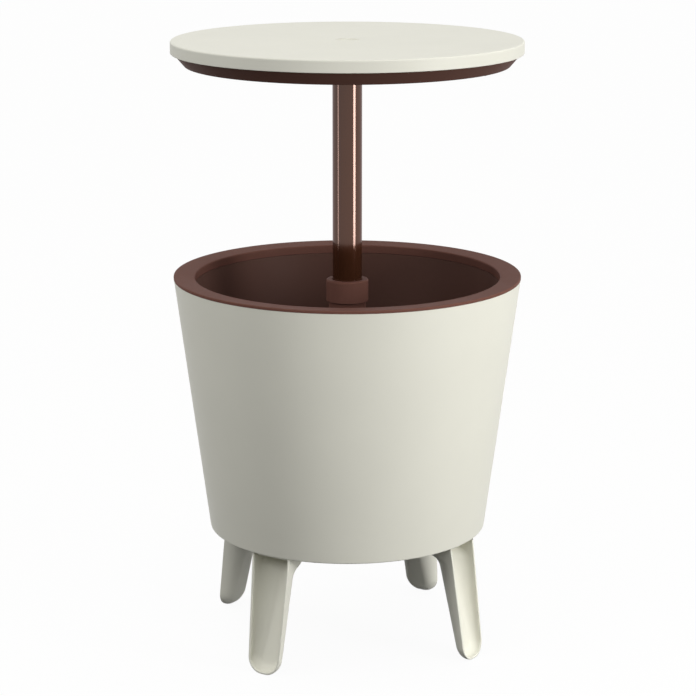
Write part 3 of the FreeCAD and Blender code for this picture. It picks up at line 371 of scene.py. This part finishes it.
def painted_tube(name, colour):
    """Semi-gloss coat over drawn metal: faint lines along the tube and a slightly uneven sheen."""
    material, nodes, links, shader, place = blank_finish(name)
    shader.inputs["Metallic"].default_value = 0.5
    shader.inputs["Specular IOR Level"].default_value = 0.3
    shader.inputs["Specular Tint"].default_value = (0.5, 0.35, 0.3, 1.0)
    shader.inputs["Coat Weight"].default_value = 0.30
    shader.inputs["Coat IOR"].default_value = 2.0
    shader.inputs["Coat Roughness"].default_value = 0.08
    along = nodes.new("ShaderNodeMapping")
    along.inputs["Scale"].default_value = (900.0, 900.0, 6.0)
    links.new(place, along.inputs["Vector"])
    lines = noise(nodes, links, along.outputs["Vector"], scale=1.0, detail=2.0)
    vary_tone(nodes, links, shader, lines, colour, 0.97, 1.03)
    vary_sheen(nodes, links, shader, lines, 0.08, 0.11)
    return material


bronze_paint = painted_tube("bronze_pole", BRONZE)

pole_low, pole_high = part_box("pole_tube")
POLE_RADIUS = pole_high.x / MM
POLE_BOTTOM = pole_low.z / MM
POLE_TOP = pole_high.z / MM
pole = turned([
    (POLE_RADIUS - POLE_WALL, POLE_BOTTOM, 0.3),
    (POLE_RADIUS, POLE_BOTTOM, 0.3),
    (POLE_RADIUS, POLE_TOP, 0.3),
    (POLE_RADIUS - POLE_WALL, POLE_TOP, 0.3)], steps=SLIM_TURN_STEPS)
even_shading(put_in_place(pole, "centre_pole", bronze_paint, "table", "bronze_pole", "pole_tube"))

# The guide: a brown moulded tube that stands in a foot cup and passes up through the bucket's
# floor, where its flange seals. A collar is pressed over its top end and centres the pole.
GUIDE_OUTER = 26.5
GUIDE_BORE = 23.5
FLANGE_RADIUS = 42.0
FLANGE_HEIGHT = 4.0
GUIDE_STUB = 30.5

guide_low, guide_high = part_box("guide_tube")
GUIDE_BOTTOM = guide_low.z / MM
GUIDE_TOP = guide_high.z / MM
FLANGE_BOTTOM = GUIDE_BOTTOM + GUIDE_STUB
guide = turned([
    (GUIDE_BORE, GUIDE_BOTTOM, 0),
    (GUIDE_OUTER, GUIDE_BOTTOM, 0.4),
    (GUIDE_OUTER, FLANGE_BOTTOM, 0),
    (FLANGE_RADIUS, FLANGE_BOTTOM, 0.3),
    (FLANGE_RADIUS, FLANGE_BOTTOM + FLANGE_HEIGHT, 2.0),
    (GUIDE_OUTER, FLANGE_BOTTOM + FLANGE_HEIGHT, 3.6),
    (GUIDE_OUTER, GUIDE_TOP, 0),
    (GUIDE_BORE, GUIDE_TOP, 0)], steps=SLIM_TURN_STEPS)
even_shading(put_in_place(guide, "pole_guide", brown_plastic, "bucket", "brown_plastic", "guide_tube"))

COLLAR_BORE = 21.3
COLLAR_SKIRT_BORE = 26.7
collar_low, collar_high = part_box("guide_collar")
COLLAR_RADIUS = collar_high.x / MM
COLLAR_BOTTOM = collar_low.z / MM
COLLAR_TOP = collar_high.z / MM
collar = turned([
    (COLLAR_BORE, GUIDE_TOP, 0),
    (COLLAR_SKIRT_BORE, GUIDE_TOP, 0),
    (COLLAR_SKIRT_BORE, COLLAR_BOTTOM, 0.3),
    (COLLAR_RADIUS, COLLAR_BOTTOM, 0.8),
    (COLLAR_RADIUS, COLLAR_TOP, 2.4),
    (COLLAR_BORE, COLLAR_TOP, 0.8)], steps=SLIM_TURN_STEPS)
even_shading(put_in_place(collar, "pole_collar", brown_plastic, "bucket", "brown_plastic", "guide_collar"))

# The rim: a broad brown ring over the edge of the bucket, its top falling a little inwards.
# Its lip covers the shell's edge, a collar hangs inside the opening, and a hidden rib locates
# it in the shell. It is injection moulded in brown polypropylene.
RIM_WIDTH = 30.0
RIM_COLLAR_WALL = 3.0
RIM_COLLAR_DEPTH = 12.0
RIM_PLATE = 3.0
RIM_FALL = 2.0
RIM_LIP_HEIGHT = 4.3
RIM_RIB_DEPTH = 9.0
RIM_RIB_OUTER = 243.0
RIM_RIB_TOP = 244.2
RIM_RIB_WALL = 3.0

rim_low, rim_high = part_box("rim_ring")
RIM_RADIUS = -rim_low.x / MM
RIM_TOP = rim_high.z / MM
RIM_OPENING = TOP_RADIUS - RIM_WIDTH
SHELL_TOP = RIM_TOP - RIM_LIP_HEIGHT
RIM_INNER_TOP = RIM_TOP - RIM_FALL
rim = turned([
    (RIM_OPENING, RIM_INNER_TOP - RIM_COLLAR_DEPTH, 0.8),
    (RIM_OPENING + RIM_COLLAR_WALL, RIM_INNER_TOP - RIM_COLLAR_DEPTH, 0.8),
    (RIM_OPENING + RIM_COLLAR_WALL, RIM_INNER_TOP - RIM_PLATE, 0.5),
    (RIM_RIB_OUTER - RIM_RIB_WALL, RIM_INNER_TOP - RIM_PLATE, 0.5),
    (RIM_RIB_OUTER - RIM_RIB_WALL, SHELL_TOP - RIM_RIB_DEPTH, 0),
    (RIM_RIB_OUTER, SHELL_TOP - RIM_RIB_DEPTH, 0),
    (RIM_RIB_TOP, SHELL_TOP, 0),
    (RIM_RADIUS, SHELL_TOP, 0.3),
    (RIM_RADIUS, RIM_TOP, 1.5),
    (RIM_OPENING, RIM_INNER_TOP, 2.0)])
even_shading(put_in_place(rim, "bucket_rim", brown_plastic, "bucket", "brown_plastic", "rim_ring"))

# The bucket: a deep brown liner moulded in one piece, hung from the rim by its flange.
# Its floor has a hole for the guide and a round sump with the drain's hole in it.
LINER_WALL = 3.0
LINER_FLOOR = 202.0
LINER_FLOOR_RADIUS = 173.8
LINER_FOOT_OUTSIDE = 20.1
LINER_FOOT_INSIDE = 17.5
LINER_LEDGE = 525.3
LINER_NECK = 220.7
LINER_FLANGE = 17.0
LINER_HOLE = 27.0
DRAIN_X = -25.36
DRAIN_Y = 117.29
SUMP_RADIUS = 27.0
SUMP_DEPTH = 6.0
LINER_BORE = 11.1

# The liner is the rim's brown plastic; it takes the darker copy as painted shade inside the deep bucket.
liner_plastic = moulded_plastic("liner_plastic", PAINTED_SHADE_BROWN, roughness=0.50, drift=0.05, specular=0.08)


def piece_mesh(bm, name):
    """Unlinked mesh object, for joining to or cutting from another."""
    mesh = bpy.data.meshes.new(name)
    bm.to_mesh(mesh)
    bm.free()
    return bpy.data.objects.new(name, mesh)


def round_bar(x, y, radius, bottom, top):
    """Closed upright cylinder, in millimetres."""
    bm = bmesh.new()
    bmesh.ops.create_cone(bm, cap_ends=True, segments=64, radius1=radius * MM, radius2=radius * MM,
                          depth=(top - bottom) * MM)
    bmesh.ops.translate(bm, verts=bm.verts, vec=(x * MM, y * MM, (bottom + top) / 2 * MM))
    return bm


def worked(bm, steps):
    """Mesh after bars are joined to it or cut from it, in order."""
    blank = piece_mesh(bm, "blank")
    bpy.context.scene.collection.objects.link(blank)
    bars = []
    for operation, bar in steps:
        tool = piece_mesh(bar, "tool")
        bpy.context.scene.collection.objects.link(tool)
        cut = blank.modifiers.new("work", "BOOLEAN")
        cut.operation = operation
        cut.solver = "EXACT"
        cut.object = tool
        bars.append(tool)
    depsgraph = bpy.context.evaluated_depsgraph_get()
    result = bpy.data.meshes.new_from_object(blank.evaluated_get(depsgraph))
    finished = bmesh.new()
    finished.from_mesh(result)
    for tool in bars + [blank]:
        bpy.data.objects.remove(tool)
    bmesh.ops.recalc_face_normals(finished, faces=finished.faces)
    return finished


liner = turned([
    (LINER_HOLE, LINER_FLOOR, 0),
    (LINER_FLOOR_RADIUS + LINER_WALL, LINER_FLOOR, LINER_FOOT_OUTSIDE),
    (RIM_OPENING + LINER_WALL, LINER_LEDGE - LINER_WALL, 0),
    (LINER_NECK + LINER_WALL, LINER_LEDGE, 0),
    (LINER_NECK + LINER_WALL, RIM_INNER_TOP - 2 * LINER_WALL, 0),
    (LINER_NECK + LINER_FLANGE, RIM_INNER_TOP - 2 * LINER_WALL, 0),
    (LINER_NECK + LINER_FLANGE, RIM_INNER_TOP - LINER_WALL, 0),
    (LINER_NECK, RIM_INNER_TOP - LINER_WALL, 0),
    (LINER_NECK, LINER_LEDGE, 0),
    (RIM_OPENING, LINER_LEDGE, 0),
    (LINER_FLOOR_RADIUS, LINER_FLOOR + LINER_WALL, LINER_FOOT_INSIDE),
    (LINER_HOLE, LINER_FLOOR + LINER_WALL, 0.5)])
SUMP_FLOOR = LINER_FLOOR + LINER_WALL - SUMP_DEPTH
liner = worked(liner, [
    ("UNION", round_bar(DRAIN_X, DRAIN_Y, SUMP_RADIUS + LINER_WALL, SUMP_FLOOR - LINER_WALL,
                        LINER_FLOOR + LINER_WALL / 2)),
    ("DIFFERENCE", round_bar(DRAIN_X, DRAIN_Y, SUMP_RADIUS, SUMP_FLOOR, LINER_FLOOR + 2 * LINER_WALL)),
    ("DIFFERENCE", round_bar(DRAIN_X, DRAIN_Y, LINER_BORE, SUMP_FLOOR - 2 * LINER_WALL, LINER_FLOOR))])
put_in_place(liner, "ice_bucket", liner_plastic, "bucket", "liner_plastic", "bucket_liner")

# The outer shell: a tall off-white tapered tub with a closed floor, moulded in one piece with
# the slight draft that draws it from its mould. The rim sits on its edge, the legs are screwed
# to its floor, and the drain passes through it.
SHELL_WALL = 3.0
SHELL_FLOOR = 3.5
SHELL_DRAW_IN = 48.0
SHELL_FOOT_ROUND = 2.3
DRAIN_HOLE = 11.5

SHELL_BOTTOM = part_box("outer_shell")[0].z / MM
SHELL_FOOT_RADIUS = TOP_RADIUS - SHELL_DRAW_IN
shell = turned([
    (0, SHELL_BOTTOM, 0),
    (SHELL_FOOT_RADIUS, SHELL_BOTTOM, SHELL_FOOT_ROUND),
    (TOP_RADIUS, SHELL_TOP, 0.3),
    (TOP_RADIUS - SHELL_WALL, SHELL_TOP, 0.3),
    (SHELL_FOOT_RADIUS - SHELL_WALL, SHELL_BOTTOM + SHELL_FLOOR, SHELL_FOOT_ROUND),
    (0, SHELL_BOTTOM + SHELL_FLOOR, 0)])
shell = worked(shell, [
    ("DIFFERENCE", round_bar(DRAIN_X, DRAIN_Y, DRAIN_HOLE, SHELL_BOTTOM - SHELL_FLOOR,
                             SHELL_BOTTOM + 2 * SHELL_FLOOR))])
put_in_place(shell, "white_tub", cream_plastic, "bucket", "cream_plastic", "outer_shell")

# The four legs: off-white hollow scoops, open to the outside, with half-round backs and feet.
# Each is moulded in one piece and narrows and splays outwards to its foot. The thicker plate at
# its top spreads inwards into a flange, and two screws hold it under the shell.
LEG_WALL = 3.0
LEG_PLATE = 4.0
PLATE_SET_IN_SHARE = 0.15
LEG_AZIMUTH = -33.3
LEG_SET_IN = 4.2
LEG_TOP_FRONT = SHELL_FOOT_RADIUS - LEG_SET_IN
LEG_SPLAY = 22.3
LEG_TOP_WIDTH = 63.0
LEG_FOOT_WIDTH = 51.3
LEG_TOP_DEPTH = 40.5
LEG_FOOT_DEPTH = 14.8
LEG_TOP_BACK_ROUND = 37.3
LEG_FOOT_BACK_ROUND = 11.4
LEG_FOOT_FLAT = 7.0
LEG_RIM_ROUND = 1.0
LEG_RIM_ANGLE = math.radians(50.0)
FLARE_KNEE = 146.0
FLARE_END = 157.0
FLARE_REACH = 21.5
FLARE_ROUND = 22.0
FLANGE_ROUND = 16.0
FOOT_STEPS = 16
BACK_STEPS = 10


def down_leg(top, foot, level):
    """Measure of a leg at a height, from its values at the top and at the foot."""
    return foot + (top - foot) * level / SHELL_BOTTOM


def leg_front(level):
    """Radius of a leg's open front at a height."""
    return down_leg(LEG_TOP_FRONT, LEG_TOP_FRONT + LEG_SPLAY, level)


def leg_back(level):
    """Radius of a leg's straight back at a height, without the flange at its top."""
    return leg_front(level) - down_leg(LEG_TOP_DEPTH, LEG_FOOT_DEPTH, level)


def eased_line(corners, steps=7):
    """Points along an open line whose inner corners are rounded, as (radius, height)."""
    points = [Vector(corners[0][:2])]
    for before, corner, after in zip(corners, corners[1:], corners[2:]):
        tip = Vector(corner[:2])
        back = (Vector(before[:2]) - tip).normalized()
        onwards = (Vector(after[:2]) - tip).normalized()
        half = back.angle(onwards) / 2
        centre = tip + (back + onwards).normalized() * corner[2] / math.sin(half)
        first = tip + back * corner[2] / math.tan(half) - centre
        last = tip + onwards * corner[2] / math.tan(half) - centre
        points += [centre + first.slerp(last, k / steps) * corner[2] for k in range(steps + 1)]
    points.append(Vector(corners[-1][:2]))
    return points


FLANGE_BACK = leg_back(FLARE_END) - FLARE_REACH
back_line = eased_line([(leg_back(0), 0), (leg_back(FLARE_KNEE), FLARE_KNEE, FLARE_ROUND),
                        (FLANGE_BACK, FLARE_END, FLANGE_ROUND), (FLANGE_BACK, SHELL_BOTTOM)])


def back_at(level):
    """Radius of a leg's back at a height."""
    low, high = next(pair for pair in zip(back_line, back_line[1:])
                     if level <= pair[1].y or pair[1] == back_line[-1])
    return low.x + (high.x - low.x) * (level - low.y) / (high.y - low.y)


def leg_outline():
    """Half of a leg's front outline, from its top down to the middle of its foot.

    Each point is its place across and its height, then the way inwards from the outline there."""
    foot_round = (LEG_FOOT_WIDTH - LEG_FOOT_FLAT) / 2
    levels = {point.y for point in back_line if point.y > foot_round} | {foot_round}
    points = []
    for level in sorted(levels, reverse=True):
        points.append((down_leg(LEG_TOP_WIDTH, LEG_FOOT_WIDTH, level) / 2, level, -1.0, 0.0))
    for k in range(1, FOOT_STEPS + 1):
        turn = math.pi / 2 * k / FOOT_STEPS
        level = foot_round * (1 - math.sin(turn))
        half = down_leg(LEG_TOP_WIDTH, LEG_FOOT_WIDTH, level) / 2
        points.append((half - foot_round * (1 - math.cos(turn)), level, -math.cos(turn), math.sin(turn)))
    points.append((0.0, 0.0, 0.0, 1.0))
    return points


def leg_point(outline_point, side, ring):
    """Place of a point of a leg's skin, at ring 0 on its front edge and at the last ring on its back."""
    across, level, inwards_across, inwards_level = outline_point
    if ring == 0:
        return leg_front(level), side * across, level
    turn = math.pi / 2 * (ring - 1) / BACK_STEPS
    rounding = down_leg(LEG_TOP_BACK_ROUND, LEG_FOOT_BACK_ROUND, level)
    if inwards_level == 0:
        rounding = min(rounding, across)
    inset = rounding * (1 - math.cos(turn))
    across += inset * inwards_across
    level += inset * inwards_level
    return back_at(level) + rounding * (1 - math.sin(turn)), side * across, level


def leg_mesh(azimuth):
    """Outer skin of one leg, open at the front, in its place under the shell.

    The plate at its top starts a little behind the front edge, by a share of the first step back."""
    outline = leg_outline()
    columns = 2 * (BACK_STEPS + 2)
    # The grid is one unit wide and high, so a point's place in it gives its column and its row.
    bm = bmesh.new()
    bmesh.ops.create_grid(bm, x_segments=columns - 1, y_segments=len(outline) - 1, size=0.5)
    top = {}
    for vert in bm.verts:
        column = round((vert.co.x + 0.5) * (columns - 1))
        row = round((vert.co.y + 0.5) * (len(outline) - 1))
        side = 1.0 if column >= columns / 2 else -1.0
        vert.co = leg_point(outline[row], side, ring=min(column, columns - 1 - column))
        if row == 0:
            top[column] = vert
    left, *plate, right = [top[column] for column in range(columns)]
    first = bmesh.utils.edge_split(bm.edges.get((left, plate[0])), left, PLATE_SET_IN_SHARE)[1]
    last = bmesh.utils.edge_split(bm.edges.get((right, plate[-1])), right, PLATE_SET_IN_SHARE)[1]
    bm.faces.new([first] + plate + [last])
    bmesh.ops.remove_doubles(bm, verts=bm.verts, dist=NEAR)
    bmesh.ops.dissolve_degenerate(bm, edges=bm.edges, dist=NEAR)
    bmesh.ops.recalc_face_normals(bm, faces=bm.faces)
    innermost = min(bm.faces, key=lambda face: face.calc_center_median().x)
    if innermost.normal.x > 0:
        bmesh.ops.reverse_faces(bm, faces=bm.faces[:])
    bmesh.ops.rotate(bm, verts=bm.verts, cent=(0, 0, 0), matrix=Matrix.Rotation(azimuth, 3, "Z"))
    bmesh.ops.scale(bm, verts=bm.verts, vec=(MM, MM, MM))
    return bm


for quarter, where in enumerate(("front_right", "rear_right", "rear_left", "front_left")):
    skin = leg_mesh(math.radians(LEG_AZIMUTH + 90.0 * quarter))
    leg = put_in_place(skin, "scoop_leg_" + where, cream_plastic, "bucket", "cream_plastic", "leg_" + where)
    at_top = [vert.index for vert in leg.data.vertices if vert.co.z > (SHELL_BOTTOM - NEAR) * MM]
    plate = leg.vertex_groups.new(name="plate")
    plate.add(at_top, 1.0, "REPLACE")
    wall = leg.modifiers.new("wall", "SOLIDIFY")
    wall.thickness = LEG_PLATE * MM
    wall.vertex_group = plate.name
    wall.thickness_vertex_group = LEG_WALL / LEG_PLATE
    wall.offset = -1.0
    wall.use_even_offset = True
    rounding = leg.modifiers.new("rim", "BEVEL")
    rounding.width = LEG_RIM_ROUND * MM
    rounding.segments = 3
    rounding.limit_method = "ANGLE"
    rounding.angle_limit = LEG_RIM_ANGLE
    rounding.use_clamp_overlap = False
    even_shading(leg)

# The rest keeps the shapes that it was built with: screws, nuts and seals, the hub and plug of
# the pole, the twist lock, the guide's foot and the drain. Each gets the finish of its kind, and
# the leg screws are painted near-black as painted shade under the shell.
DARK = (0.035, 0.029, 0.026)
PLUG_BROWN = (0.16, 0.078, 0.056)
ZINC = (0.60, 0.61, 0.62)
# Near-black plating colour for the leg screws: painted shade, for the shadow they sit in under the shell.
SCREW_PAINTED_SHADE = (0.045, 0.043, 0.042)
RUBBER = (0.028, 0.028, 0.028)

dark_plastic = moulded_plastic("dark_plastic", DARK, roughness=0.45, drift=0.08)
plug_plastic = moulded_plastic("drain_plug_plastic", PLUG_BROWN, roughness=0.42, drift=0.05)
rubber = moulded_plastic("rubber", RUBBER, roughness=0.75, drift=0.10, grain=0.8, specular=0.3)


def plated_steel(name, colour):
    """Zinc-plated steel: cloudy plating that varies the tone and the sheen."""
    material, nodes, links, shader, place = blank_finish(name)
    shader.inputs["Metallic"].default_value = 1.0
    cloud = noise(nodes, links, place, scale=420.0, detail=4.0)
    vary_tone(nodes, links, shader, cloud, colour, 0.86, 1.1)
    vary_sheen(nodes, links, shader, cloud, 0.28, 0.46)
    return material


zinc_steel = plated_steel("zinc_steel", ZINC)
painted_shade_steel = plated_steel("painted_shade_steel", SCREW_PAINTED_SHADE)

FINISHES = {
    "cream_plastic": cream_plastic, "brown_plastic": brown_plastic, "liner_plastic": liner_plastic,
    "dark_plastic": dark_plastic, "bronze_pole": bronze_paint, "drain_plug_plastic": plug_plastic,
    "steel": zinc_steel, "rubber": rubber}
for part in frame["record"]["subparts"]:
    node = frame["nodes"][part["node"]]
    if not node.hide_render:
        # The leg screws take the near-black finish: painted shade, not the zinc plating they really have.
        finish = painted_shade_steel if part["node"] == "leg_screws" else FINISHES[part["material_slot"]]
        node.data.materials.clear()
        node.data.materials.append(finish)
